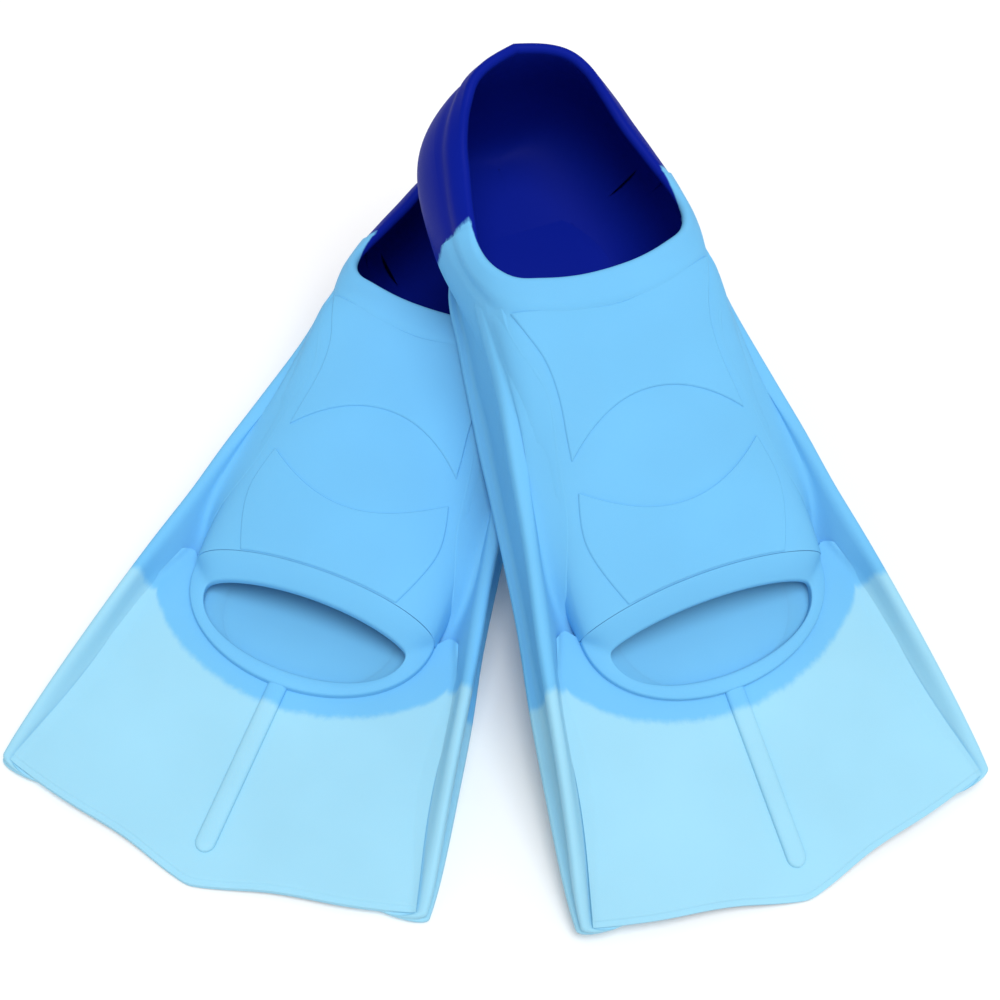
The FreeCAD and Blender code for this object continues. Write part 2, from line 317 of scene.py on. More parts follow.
def tidy_mesh(mesh):
    """Merges the seams, points every face outwards and shades smooth except at real edges."""
    work = bmesh.new()
    work.from_mesh(mesh)
    bmesh.ops.remove_doubles(work, verts=work.verts, dist=2e-6)
    bmesh.ops.dissolve_degenerate(work, edges=work.edges, dist=1e-7)
    bmesh.ops.recalc_face_normals(work, faces=work.faces)
    if work.calc_volume(signed=True) < 0:
        bmesh.ops.reverse_faces(work, faces=work.faces)
    work.to_mesh(mesh)
    work.free()
    mesh.shade_smooth()
    mesh.set_sharp_from_angle(angle=math.radians(42))


def grid_faces(rows, columns, wrap_rows=False, wrap_columns=False):
    """Quads of a grid of points numbered row by row."""
    r = np.arange(rows if wrap_rows else rows - 1)[:, None]
    c = np.arange(columns if wrap_columns else columns - 1)[None, :]
    r2, c2 = (r + 1) % rows, (c + 1) % columns
    corners = (r * columns + c, r * columns + c2, r2 * columns + c2, r2 * columns + c)
    quads = np.stack(np.broadcast_arrays(*corners), -1)
    return quads.reshape(-1, 4).tolist()


def closed_shell(outer, inner, lip=None):
    """A closed wall between two grids: rows go out along `outer`, back along `inner` and, where
    there is a lip, over it, so the whole wall is one grid that wraps round, and its two ends are
    filled. Also gives each point's share of being inside: 0 outside, 1 inside, graded on the lip."""
    n, columns = outer.shape[:2]
    rows = [outer, inner[::-1]]
    share = [np.zeros((n, columns)), np.ones((n, columns))]
    if lip is not None:
        rows.append(lip[::-1])
        share.append(np.linspace(0.9, 0.1, len(lip))[:, None] * np.ones(columns))
    ring = np.vstack(rows)
    count = len(ring)
    faces = grid_faces(count, columns, wrap_rows=True)
    lower = n + np.arange(n - 1, -1, -1)
    for edge in (0, columns - 1):
        outer_ids = np.arange(n) * columns + edge
        inner_ids = lower * columns + edge
        side = np.stack([outer_ids[:-1], outer_ids[1:], inner_ids[1:], inner_ids[:-1]], -1)
        faces += side.tolist()
        if lip is not None:
            ids = (np.arange(2 * n, count) * columns + edge).tolist()
            faces.append([int(outer_ids[0])] + ids[::-1] + [int(inner_ids[0])])
    return ring.reshape(-1, 3), faces, np.vstack(share).ravel()


def bar(sections, wrap=False):
    """A solid bar from closed sections, one per row, with flat ends."""
    rows, columns = sections.shape[:2]
    faces = grid_faces(rows, columns, wrap_rows=wrap, wrap_columns=True)
    if not wrap:
        faces.append(list(range(columns)))
        faces.append(list(range((rows - 1) * columns, rows * columns)))
    return sections.reshape(-1, 3), faces


def rounded_section(corners, reach, steps=5):
    """Closed sections with rounded corners. Each corner c becomes the quadratic curve from the
    point `reach` before it to the point `reach` after it: (1-t)^2 p + 2t(1-t) c + t^2 q."""
    before, after = np.roll(corners, 1, axis=1), np.roll(corners, -1, axis=1)

    def towards(other):
        gap = other - corners
        length = np.maximum(np.linalg.norm(gap, axis=-1, keepdims=True), 1e-9)
        return corners + gap * np.minimum(reach[..., None] / length, 0.48)

    p, q = towards(before), towards(after)
    t = np.linspace(0, 1, steps)[:, None]
    curve = (1 - t) ** 2 * p[:, :, None] + t ** 2 * q[:, :, None]
    curve += 2 * t * (1 - t) * corners[:, :, None]
    return curve.reshape(corners.shape[0], -1, corners.shape[2])


# ---- the fin's own shapes -----------------------------------------------------------------------
def split_angle_and_row(t):
    """The line where the heel section meets the rest: from the topline (t = 0) down to the middle
    of the sole (t = 1), straight in (section angle, distance from the heel)."""
    top_y = ANKLE_EDGE[0, 1]
    top_angle = pocket_angle(ANKLE_EDGE[0, 0], top_y)
    return top_angle + (-math.pi / 2 - top_angle) * t, top_y + (HEEL_BOTTOM_Y - top_y) * t


def collar_profile(distance, width, size):
    """How far the collar stands out, by distance from the opening's edge: full height over its
    width, then down through a soft crease that dips a little below the wall."""
    band = 1 - smoothstep(width - 4.5, width + 2.5, distance)
    crease = 0.35 * np.exp(-((distance - width - 3.0) / 3.2) ** 2)
    return size * (band - crease)


def heel_grids(sizes):
    """Outer and inner grids of the heel section. Below, each point of the split line is carried
    round the heel on a superellipse: |x / (x0 - k s)|^m + |(y0 - y) / (y0 - yb)|^m = 1, with s how
    far back it is. The topmost rows lean in from there to the narrower opening's edge."""
    collar_end = 0.2
    collar = np.linspace(0, collar_end, HEEL_COLLAR_ROWS)
    t = np.concatenate([collar, np.linspace(collar_end, 1, 44)[1:]])[:, None]
    place = np.linspace(0, 1, 61)
    turn = place[None, :] * math.pi / 2
    angle, row = split_angle_and_row(t)
    start = pocket_point(angle, row)
    square = 3.15 + 0.4 * t
    back = spline((0, 0.1, 0.35, 0.7, 1.0), (-2.4, -4.4, -4.8, 2.0, 16.0), t)
    narrowing, lean_end = 0.09, 0.43
    c, s = np.cos(turn), np.sin(turn)
    swing = (c ** square + s ** square) ** (-1 / square)
    depth = (start[..., 1] - back) * s * swing
    x = (start[..., 0] - narrowing * depth) * c * swing
    round_heel = np.stack(np.broadcast_arrays(x, start[..., 1] - depth, start[..., 2]), -1)
    round_heel[:, -1, 0] = 0
    round_heel = np.stack([even_path(line, place) for line in round_heel])
    edge = even_path(HEEL_EDGE[::-1], place)
    lean = (1 - np.clip(t / lean_end, 0, 1)) ** 2
    half = round_heel + (edge - round_heel) * lean[..., None]
    half[:, -1, 0] = 0
    base = np.concatenate([half, half[:, -2::-1] * (-1, 1, 1)], axis=1)
    normals = surface_normals(base)
    if normals[10, 60, 1] > 0:
        normals = -normals
    raised = collar_profile(path_lengths(base), COLLAR_WIDTH, sizes.collar_raise / MM)
    outer = base + normals * raised[..., None]
    inner = base - normals * (sizes.wall / MM)
    inner[-1, :, 0] = 0.0
    outer[-1, :, 0] = 0.0
    return outer, inner


def front_grids(sizes):
    """Outer and inner grids of the rest of the pocket, and how many of their rows are the collar.
    Lines fan out in (section angle, distance from the heel) from the ankle opening's edge to the
    split line, the sole's edge and the toe rim."""
    f = np.linspace(0, 1, 91)
    f = np.concatenate([-f[:0:-1], f])
    side, g = np.sign(f), np.abs(f)
    edge = even_path(ANKLE_EDGE[::-1], g)
    edge[g == 0, 0] = 0
    edge_angle = pocket_angle(edge[:, 0], edge[:, 1])
    split_share = (SOLE_ANGLE + math.pi / 2) / (pocket_angle(*ANKLE_EDGE[0]) + math.pi / 2)
    low_row = HEEL_BOTTOM_Y + (ANKLE_EDGE[0, 1] - HEEL_BOTTOM_Y) * split_share
    lip_share, sole_share = 0.42, 0.5
    end_x = np.interp(g, (0.0, 0.10, 0.22, 0.34, lip_share), (0.0, 20.0, 38.0, 50.0, 54.6))
    lip_row = LIP_TOP + (RIM_BACK - LIP_TOP) * (end_x / RIM_HALF) ** 2
    on_lip = g <= lip_share
    end_row = np.where(on_lip, lip_row, np.interp(g, (sole_share, 1.0), (RIM_BACK, low_row)))
    down = np.interp(g, (lip_share, sole_share), (0.07, SOLE_ANGLE))
    end_angle = np.where(on_lip, pocket_angle(end_x, end_row), down)
    band = np.linspace(0, 1, 22)
    collar_share = spline((0, 0.5, 1), (0.125, 0.16, 0.14), g)
    rest = np.linspace(0, 1, 60)[1:] ** 1.25
    s = np.vstack([band[:, None] * collar_share, collar_share + rest[:, None] * (1 - collar_share)])
    angle = edge_angle + (end_angle - edge_angle) * s
    row = edge[:, 1] + (end_row - edge[:, 1]) * s
    base = pocket_point(angle, row)
    base[..., 0] *= side
    base[:, side == 0, 0] = 0
    normals = surface_normals(base)
    if normals[30, 90, 2] < 0:
        normals = -normals
    width = COLLAR_WIDTH + 4.0 * (1 - smoothstep(0.25, 0.8, g))
    raised = collar_profile(path_lengths(base), width, sizes.collar_raise / MM)
    outer = base + normals * raised[..., None]
    inner = base - normals * (sizes.wall / MM)
    return outer, inner, len(band)


def rail_sections(side, rows):
    """Closed sections of a side rail, each a list of corners rounded by rounded_section: underside,
    flange, hollowed outer face, broad rounded crest, and the valley that climbs to the foot pocket
    behind the toe rim or runs under the deck ahead of it. The rest of the section is hidden: it
    follows the pocket's side inside the pocket's wall."""
    flange, low, crest, crest_up, broad, valley, valley_up = (column(RAIL, k, rows) for k in range(1, 8))
    tall = crest_up - low
    lip = np.minimum(2.8, 0.3 * tall)
    inside = np.minimum(flange, crest) - np.minimum(4.4, 0.16 * tall)
    beside = beside_pocket(rows)
    pocket_rows = np.minimum(rows, RIM_BACK)
    ahead = np.minimum(valley - 2.0, column(POCKET, 1, pocket_rows) - 1.6)

    def hidden(height, depth):
        """`depth` inside the pocket's side, or under the deck."""
        return ahead + beside * (pocket_side(height, pocket_rows) - depth - ahead)

    def on_side(height):
        """A lower limit for x that keeps the rail's upper side on the pocket."""
        return hidden(height, emerging) - 40.0 * (1 - beside)

    # The rail's upper side comes out of the pocket's wall behind the instep.
    emerging = 1.9 - 2.1 * smoothstep(78.0, 104.0, rows)
    lift = np.maximum(valley_up - crest_up, 0)
    slope_up = crest_up - 0.5 + 0.45 * lift
    joined_up = valley_up + 8.0 * beside - 0.6
    sunk = 1.8
    corners = [
        (np.minimum(hidden(low, 1.6), flange - 7.0), low),
        (flange, low),
        (flange - 0.3, low + lip),
        (inside, low + lip + 0.02 * tall),
        (inside + 0.3 * (crest - inside), low + 0.62 * tall),
        (crest + 0.2, crest_up - np.minimum(4.5, 0.3 * tall)),
        (crest - 0.8, crest_up),
        (np.maximum(crest - broad * (1 - 0.08 * lift), on_side(slope_up)), slope_up),
        (np.maximum(valley, on_side(valley_up)), valley_up),
        (hidden(joined_up, emerging), joined_up),
        (hidden(joined_up + 1.0, sunk), joined_up + 1.0),
    ]
    for share in (0.75, 0.5, 0.25):
        height = low + (valley_up - low) * share
        corners.append((hidden(height, sunk), height))
    x, z = (np.stack([corner[k] for corner in corners], 1) for k in (0, 1))
    y = np.broadcast_to(rows[:, None], x.shape)
    x = np.maximum(x, hidden_side(z, y) - 2.0)
    reach = np.array((0.8, 1.0, 1.0, 5.0, 6.0, 1.8, 2.2, 3.4, 6.5, 0.4, 0.4, 1.0, 1.0, 1.0))
    reach = np.minimum(reach, 0.25 * tall[:, None])
    return rounded_section(np.stack([side * x, y, z], -1), reach)


def deck_edge(y):
    """Half width of the deck: where its fillet runs into the rails' inner faces."""
    return column(RAIL, 6, y) + 0.8


def deck_point(x, y, dip=0.0):
    """A point on the deck's top, with the fillet that climbs the rails: r (1 - cos) of the arc."""
    radius = 4.0
    into = np.clip((np.abs(x) - (deck_edge(y) - 0.75 * radius)) / radius, 0, 0.85)
    climb = radius * (1 - np.sqrt(1 - into ** 2))
    return np.stack(np.broadcast_arrays(x, y, deck_top(y) + climb - dip), -1)


def zone_row(x):
    """Where the sky blue ends and the pale blade begins: a crescent ahead of the toe rim."""
    return ZONE_REAR + ZONE_BULGE * np.clip(1 - (x / ZONE_HALF) ** 2, 0, 1) ** ZONE_POWER


def root_grids(thickness):
    """Top and bottom grids of the crescent of deck between the toe rim and the pale blade. Straight
    lines run from the rear edge (rim, web notch, rail) to the colour line."""
    g = np.linspace(0, 1, 61)
    rim_share, under_rim = 0.78, 2.5
    turn = np.interp(g, (0, rim_share), (math.pi / 2, 0.0))
    x_rim = (RIM_HALF - under_rim) * np.cos(turn)
    y_rim = RIM_BACK + (RIM_FRONT - under_rim - RIM_BACK) * np.sin(turn) ** 0.94
    web = (rim_share, 0.84, 0.88, 0.92, 1.0)
    x_web = np.interp(g, web, (RIM_HALF - under_rim, 56.0, 58.2, 60.2, 63.6))
    y_web = np.interp(g, web, (RIM_BACK, 227.6, 225.0, 224.9, 227.0))
    on_rim = g < rim_share
    rear = np.stack([np.where(on_rim, x_rim, x_web), np.where(on_rim, y_rim, y_web)], -1)
    front_x = ZONE_GRID_HALF * g ** 0.92
    front = np.stack([front_x, zone_row(front_x)], -1)
    front[-1, 0] = deck_edge(front[-1, 1])
    s = np.linspace(0, 1, 25)[:, None, None]
    plan = rear * (1 - s) + front * s
    return both_sides(plan, thickness)


def mirrored(plan):
    """A whole plan from the half with x from 0 up, its middle column first."""
    return np.concatenate([plan[:, :0:-1] * (-1, 1), plan], axis=1)


def both_sides(plan, thickness, dip=None):
    """Mirrors a half plan (middle to rail) and lifts it to the deck's top and underside."""
    plan = mirrored(plan)
    dip = 0.0 if dip is None else np.concatenate([dip[:, :0:-1], dip], axis=1)
    top = deck_point(plan[..., 0], plan[..., 1], dip)
    thin = thickness * (1 - 0.35 * smoothstep(270, 345, plan[..., 1]))
    bottom = np.stack([plan[..., 0], plan[..., 1], deck_top(plan[..., 1]) - thin], -1)
    return top, bottom


def panel_grids(thickness, step):
    """Top and bottom grids of the pale blade, out to the trailing edge, with a fine step just
    inside that edge."""
    u = np.linspace(0, 1, 61)
    near_edge = np.array((3.4, 2.9, 2.6, 2.3, 2.0, 1.2, 0.5, 0.0))
    span_rows = 70
    v = np.concatenate([np.linspace(0, 1, span_rows), np.ones(len(near_edge) - 1)])[:, None]
    back_off = np.concatenate([np.full(span_rows, near_edge[0]), near_edge[1:]])[:, None]
    x_zone = ZONE_GRID_HALF * u ** 0.92
    x = x_zone * np.ones_like(v)
    # x and y depend on each other at the rails, so they are settled in a few rounds.
    for _ in range(4):
        edge_x = np.sqrt(x ** 2 + 9.0) - 3.0
        y_end = spline(TRAILING_EDGE[:, 0], TRAILING_EDGE[:, 1], edge_x) - back_off
        y = zone_row(x_zone) * (1 - v) + y_end * v
        x = x_zone + (u * deck_edge(y) - x_zone) * smoothstep(0, 1, v)
        x[:, -1] = deck_edge(y[:, -1])
    dip = step * smoothstep(2.75, 2.15, back_off) * np.ones_like(x)
    return both_sides(np.stack([x, y], -1), thickness, dip)


def soft_corners(loop, passes):
    """A closed loop with its corners eased: each pass moves every point half way to the middle of
    its neighbours."""
    for _ in range(passes):
        loop = loop / 2 + (np.roll(loop, 1, axis=0) + np.roll(loop, -1, axis=0)) / 4
    return loop


def rim_curves():
    """The toe rim's outer and inner edge, each one closed loop, and 1 where it lies on the deck, 0
    on the upper lip: first the front half moon, then back over the instep."""
    lower = np.linspace(0, math.pi, 201)[:-1]
    upper = np.linspace(math.pi, 0, 201)[:-1]
    c, s = np.cos(lower), np.sin(lower)
    x, y = RIM_HALF * c, RIM_BACK + (RIM_FRONT - RIM_BACK) * s ** 0.94
    outer_low = np.stack([x, y, deck_top(y) + 2.8], -1)
    x, y = SLOT_HALF * c, SLOT_BACK + (SLOT_FRONT - SLOT_BACK) * s ** 0.9
    inner_low = np.stack([x, y, deck_top(y) + 3.0 + 1.8 * (1 - s) ** 2], -1)
    c, s = np.cos(upper), np.sin(upper)
    x, y = RIM_HALF * c, RIM_BACK - (RIM_BACK - LIP_TOP) * s ** 2
    outer_up = np.stack([x, y, np.maximum(pocket_top(x, y), deck_top(y) + 2.8) + 0.6 * s], -1)
    x, y = SLOT_HALF * c, SLOT_BACK - (SLOT_BACK - SLOT_LIP) * s ** 1.4
    inner_up = np.stack([x, y, 27.8 + 10.0 * s ** 1.25], -1)
    outer, inner = (
        soft_corners(np.concatenate([even_steps(low, RIM_STEPS), even_steps(up, RIM_STEPS)]), passes)
        for low, up, passes in ((outer_low, outer_up, 3), (inner_low, inner_up, 5))
    )
    on_deck = soft_corners(np.repeat((1.0, 0.0), RIM_STEPS)[:, None], 60)
    return outer, inner, on_deck


def even_steps(path, count):
    """`count` points along an open path, at equal distances and without its last point."""
    reach = np.concatenate([[0], np.cumsum(np.linalg.norm(np.diff(path, axis=0), axis=1))])
    at = np.linspace(0, reach[-1], count + 1)[:-1]
    return np.stack([np.interp(at, reach, path[:, k]) for k in range(3)], -1)


def rim_sections():
    """Sections across the rim, one per place round the loop: outer skirt, outer edge, crowned
    face, inner edge and the wall that leads in to the footbed."""
    outer, inner, on_deck = rim_curves()
    outward = outer - inner
    outward[:, 2] = 0
    outward /= np.linalg.norm(outward, axis=1, keepdims=True)
    up = np.array((0, 0, 1))
    middle = (outer + inner) / 2
    skirt = outer - up * (3.4 + 2.2 * on_deck) - outward * 0.2
    wall_foot = inner - up * (3.2 + 2.2 * on_deck) + outward * 0.3
    corners = np.stack([skirt, outer, middle + up * 0.7, inner, wall_foot, middle - up * 5.5], 1)
    reach = np.broadcast_to(np.array((0.5, 1.1, 3.0, 1.3, 0.6, 0.5)), corners.shape[:2])
    return rounded_section(corners, reach)


def footbed_grids():
    """Top and underside of the footbed and sole, from the split line to under the toe rim. The top
    is dished and its edges end inside the pocket's walls; its front is rounded like the toe slot."""
    u = np.linspace(-1, 1, 61)[None, :]
    v = np.linspace(0, 1, 110)[:, None] ** 0.9
    first_row, last_row = 46.6, 265.6
    row = (first_row + (last_row - first_row) * v) * np.ones_like(u)
    half, low, widest = (column(POCKET, k, row) for k in (1, 2, 3))
    height = spline((46, 60, 120, 200, 266), (11.2, 13.0, 15.5, 17.0, 17.6), row)
    rise = 4.5
    drop = np.clip((widest - height - rise) / (widest - low), 0.05, 0.98)
    edge = half * (1 - drop ** LOWER_SQUARENESS) ** (1 / LOWER_SQUARENESS) - 2.0
    front = np.clip((row - 235.0) / 31.0, 0, 1) ** 1.1
    edge = np.minimum(edge, (SLOT_HALF + 3.4) * np.sqrt(1 - front ** 2) + 0.5)
    top = np.stack([edge * u, row, height + rise * np.abs(u) ** 7], -1)
    angle = -math.pi / 2 + np.abs(u) * (SOLE_ANGLE + math.pi / 2)
    under = pocket_point(angle, row)
    under[..., 0] *= np.sign(u) * np.sqrt(1 - (0.97 * front) ** 2)
    return top, under


def panel_plan(top_edge, foot_edge, knots, halves, rows):
    """Half plan of an instep panel, across and along: rows run from its top edge to its foot, both
    given by how far along they lie at x, and its half width at y is a spline."""
    u = np.linspace(0, 1, 41)[None, :]
    v = np.linspace(0, 1, rows)[:, None]
    x = 38.0 * u * np.ones_like(v)
    for _ in range(5):
        y = top_edge(x) + (foot_edge(x) - top_edge(x)) * v
        x = u * spline(knots, halves, y)
    return np.stack([x, y], -1)


def upper_panel_plan():
    """From its top edge by the collar, through its waist, to its arched foot."""
    return panel_plan(
        lambda x: 117.0 - 9.4 * (x / 43.5) ** 1.6, lambda x: 151.0 + 17.4 * (x / 38.6) ** 2,
        (107.6, 117, 126, 138, 148, 158, 168.4), (43.8, 40.8, 37.4, 35.6, 36.0, 37.4, 38.6), 49)


def lower_panel_plan():
    """From the oval's lower arc to the toe rim."""
    return panel_plan(
        lambda x: 196.8 - 16.6 * (x / 40.0) ** 2,
        lambda x: LIP_TOP - 0.4 + (RIM_BACK - LIP_TOP) * (x / RIM_HALF) ** 2,
        (180, 190, 199, 211, 219, 227), (40.0, 42.6, 43.6, 41.4, 38.6, 35.2), 41)


def plate_on_pocket(plan, raise_by):
    """Top and underside of a thin plate that follows the instep: its top stands `raise_by` proud
    and its underside is sunk in the wall."""
    x, y = np.moveaxis(mirrored(plan), -1, 0)
    surface = pocket_top(x, y)
    return np.stack([x, y, surface + raise_by], -1), np.stack([x, y, surface - 1.2], -1)


def rib_sections(half, tall):
    """Closed sections of the centre rib: a squarish oval about the deck's top, whose upper half is
    `tall` high, shrinking to a round nose at the tip."""
    nose = RIB_TIP + RIB_NOSE * np.sin(np.linspace(0, math.pi / 2, 10))
    rows = np.concatenate([np.linspace(RIB_START, RIB_TIP, 60), nose[1:]])
    turn = np.linspace(0, 2 * math.pi, 33)[:-1]
    shrink = np.sqrt(np.clip(1 - ((rows - RIB_TIP).clip(0) / (RIB_NOSE + 0.01)) ** 2, 0, 1))[:, None]
    across = np.sign(np.cos(turn)) * np.abs(np.cos(turn)) ** 0.8
    rise = np.sign(np.sin(turn)) * np.abs(np.sin(turn)) ** 0.7
    sunk = 1.0
    z = deck_top(rows)[:, None] + np.where(rise > 0, tall, sunk) * (0.4 + 0.6 * shrink) * rise
    return np.stack(np.broadcast_arrays(half * shrink * across, rows[:, None], z), -1)


# ---- materials ----------------------------------------------------------------------------------
MIXED_COLOUR = 2                # the Mix node's colour output
ATTRIBUTE_VECTOR, ATTRIBUTE_VALUE = 1, 2


class Shade:
    """A socket of a node tree that arithmetic works on."""

    def __init__(self, tree, socket):
        self.tree, self.socket = tree, socket

    def node(self, kind, settings=None, inputs=None, output=0):
        """Adds a node: its settings first, then values or links by socket name or number."""
        made = self.tree.nodes.new(kind)
        for key, value in (settings or {}).items():
            setattr(made, key, value)
        for key, value in (inputs or {}).items():
            if isinstance(value, Shade):
                self.tree.links.new(value.socket, made.inputs[key])
            else:
                made.inputs[key].default_value = value
        return Shade(self.tree, made.outputs[output])

    def maths(self, operation, *values):
        """One Math node on values or sockets."""
        return self.node("ShaderNodeMath", {"operation": operation}, dict(enumerate(values)))

    def __add__(self, other):
        return self.maths("ADD", self, other)

    def __sub__(self, other):
        return self.maths("SUBTRACT", self, other)

    def __mul__(self, other):
        return self.maths("MULTIPLY", self, other)

    def __truediv__(self, other):
        return self.maths("DIVIDE", self, other)

    def __pow__(self, other):
        return self.maths("POWER", self, other)

    def __rsub__(self, other):
        return self.maths("SUBTRACT", other, self)

    __radd__, __rmul__ = __add__, __mul__

    def step(self, low, high):
        """Smoothly 0 below low and 1 above high."""
        return self.node("ShaderNodeMapRange", {"interpolation_type": "SMOOTHSTEP"},
                         {"Value": self, "From Min": low, "From Max": high})

    def mix_colours(self, first, second):
        """first where this is 0, second where it is 1."""
        sockets = {"Factor": self, "A": first, "B": second}
        return self.node("ShaderNodeMix", {"data_type": "RGBA"}, sockets, MIXED_COLOUR)

    def noise(self, scale, detail, **more):
        """Noise over this socket's vector."""
        sockets = {"Vector": self, "Scale": scale, "Detail": detail, **more}
        return self.node("ShaderNodeTexNoise", inputs=sockets)


def silicone(name, colours, royal_push):
    """Satin moulded silicone in three colours. The royal blue runs into the sky blue across the
    ankle, and the sky blue into the pale blade along a crescent; both lines are soft and a little
    ragged where one shot of silicone bled into the next. `royal_push` moves the royal blue forward,
    as on the footbed, in millimetres."""
    material = bpy.data.materials.new(name)
    material.use_nodes = True
    tree = material.node_tree
    shader = tree.nodes["Principled BSDF"]
    start = Shade(tree, None)
    place = start.node("ShaderNodeAttribute", {"attribute_name": "fin"}, output=ATTRIBUTE_VECTOR)
    inner = start.node("ShaderNodeAttribute", {"attribute_name": "inside"}, output=ATTRIBUTE_VALUE)
    split = start.node("ShaderNodeSeparateXYZ", inputs={0: place}).socket.node
    x, y, z = (Shade(tree, socket) for socket in split.outputs)

    # The two colour lines: noise drawn out along the flow and finer noise make them ragged, and
    # inside the pocket the royal blue reaches further forward, low down most of all.
    streaks = {"Vector": place, "Scale": (0.22, 0.05, 0.12)}
    streak = start.node("ShaderNodeMapping", {"vector_type": "POINT"}, streaks).noise(1.0, 4.0)
    ragged = (streak - 0.5) * 5.0 + (place.noise(0.55, 3.0) - 0.5) * 2.2
    reach_in = inner * (92.0 - 70.0 * z.step(60.0, 73.0))
    sky_from, sky_to = royal_push + 60.5, royal_push + 63.0
    royal_line = (y + ragged - reach_in).step(sky_from, sky_to + inner * 5.0)
    bowl = start.maths("MAXIMUM", 1.0 - (x / ZONE_HALF) ** 2, 0.0)
    zone = bowl ** ZONE_POWER * ZONE_BULGE + ZONE_REAR
    pale_line = (y + ragged * 0.7 - zone).step(-1.6, 2.4)
    base = royal_line.mix_colours(colours.royal, colours.sky)
    base = pale_line.mix_colours(base, colours.pale)

    # Cloudy tint and gloss, and a fine grain.
    cloud = place.noise(0.018, 2.0)
    tinted = {"Vector": base, "Scale": (cloud - 0.5) * 0.16 + 1.0}
    grain = place.noise(2.6, 5.0, Roughness=0.62)
    bumps = {"Height": grain, "Strength": 0.10, "Distance": 0.0004}
    for socket, value in {
        "Base Color": start.node("ShaderNodeVectorMath", {"operation": "SCALE"}, tinted),
        "Roughness": (grain - 0.5) * 0.12 + (cloud - 0.5) * 0.10 + 0.46,
        "Normal": start.node("ShaderNodeBump", inputs=bumps),
    }.items():
        tree.links.new(value.socket, shader.inputs[socket])
    shader.inputs["IOR"].default_value = 1.33
    shader.inputs["Specular IOR Level"].default_value = 0.05
    shader.inputs["Subsurface Weight"].default_value = 0.06
    shader.inputs["Subsurface Radius"].default_value = (0.4, 0.8, 1.0)
    shader.inputs["Subsurface Scale"].default_value = 0.003
    return material


# ---- settings -----------------------------------------------------------------------------------
def length(name, description, default):
    """A size in metres."""
    return bpy.props.FloatProperty(name=name, description=description, default=default, unit="LENGTH")


def colour(name, description, *rgb):
    """An opaque colour."""
    return bpy.props.FloatVectorProperty(
        name=name, description=description, subtype="COLOR", size=4, default=(*rgb, 1.0))


class FinSizes(bpy.types.PropertyGroup):
    wall: length("Wall", "Thickness of the foot pocket's wall", 0.0032)
    collar_raise: length("Collar", "How far the ankle collar stands out", 0.0013)
    panel_raise: length("Panels", "How far the instep panels stand out", 0.0008)
    deck: length("Blade", "Thickness of the blade at its root", 0.004)
    edge_step: length("Edge step", "Step along the trailing edge", 0.0006)
    rib_width: length("Rib width", "Width of the centre rib", 0.0084)
    rib_raise: length("Rib height", "Height of the centre rib", 0.0024)


class FinColours(bpy.types.PropertyGroup):
    royal: colour("Heel", "Royal blue of the heel", 0.003, 0.012, 0.27)
    sky: colour("Foot pocket", "Sky blue of the foot pocket", 0.163, 0.495, 0.815)
    pale: colour("Blade", "Pale aqua of the blade", 0.32, 0.635, 0.81)


class StudioSettings(bpy.types.PropertyGroup):
    camera: bpy.props.FloatVectorProperty(
        name="Camera", description="Where the camera stands", subtype="TRANSLATION", unit="LENGTH",
        default=(-0.00829, -0.49049, 0.71948))
    aim: bpy.props.FloatVectorProperty(
        name="Aim", description="The point that the camera looks at", subtype="TRANSLATION", unit="LENGTH",
        default=(-0.00831, 0.0041, 0.04))
    roll: bpy.props.FloatProperty(
        name="Roll", description="Turn of the camera about its view", subtype="ANGLE",
        default=math.radians(4.79))
    lens: bpy.props.FloatProperty(
        name="Lens", description="Focal length in millimetres on a 36 mm sensor", default=70.1)
    ambient: bpy.props.FloatProperty(
        name="Ambient", description="Strength of the white surroundings", default=0.5)
    key: bpy.props.FloatProperty(name="Key", description="Strength of the soft key light", default=2.2)
    key_from: bpy.props.FloatVectorProperty(
        name="Key from", description="Where the key light comes from", subtype="DIRECTION",
        default=(0.12, -0.3, 1.0))


def settings():
    """The sizes, the colours and the studio's settings."""
    scene = bpy.context.scene
    return scene.fin_sizes, scene.fin_colours, scene.fin_studio


# Each silicone's material slot, and how far forward its royal blue is pushed.
FINISHES = {
    "Royal silicone": ("royal_silicone", 0.0),
    "Sky silicone": ("sky_silicone", 0.0),
    "Footbed silicone": ("sky_silicone", 50.0),
    "Pale silicone": ("pale_silicone", 0.0),
}


# ---- pieces -------------------------------------------------------------------------------------
def ride_pocket(piece, fin):
    """Fixes a piece to the foot pocket."""
    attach(piece, fin + "_pocket")


def bend_with_blade(piece, fin):
    """Bakes a piece's placement into its mesh. The blade's bend points are worked out but unused, and the
    piece is neither bent nor attached to a body.
    """
    start, end = to_scene(fin, BLADE_BEND)
    fin + "_pocket"
    fin + "_blade"
    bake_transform(piece)


def bend_with_heel(piece, fin):
    """Bakes a piece's placement into its mesh. The heel's bend points are worked out but unused, and the
    piece is neither bent nor attached to a body.
    """
    start, end = to_scene(fin, HEEL_BEND)
    fin + "_pocket"
    fin + "_heel"
    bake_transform(piece)


def add_piece(fin, node, shape, finish, motion):
    """The piece that stands for one frame node: its mesh from (points, faces) and perhaps the
    shares of being inside, its silicone, made once, and how it moves."""
    slot, royal_push = FINISHES[finish]
    material = bpy.data.materials.get(finish) or silicone(finish, settings()[1], royal_push)
    points, faces, *inside = shape
    piece = make_piece(fin + "." + node, fin, points, faces, material, *inside)
    motion(piece, fin)
    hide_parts(fin + "_" + node)
    return piece


def add_collared_walls(outer, inner, cut, names, finish, motion):
    """The first `cut` rows of a wall as its collar, with a rolled lip, and the rest as its body."""
    lip = rounded_lip(outer, inner)
    for fin in FINS:
        add_piece(fin, names[0], closed_shell(outer[:cut], inner[:cut], lip), finish, motion)
        add_piece(fin, names[1], closed_shell(outer[cut - 1:], inner[cut - 1:]), finish, motion)


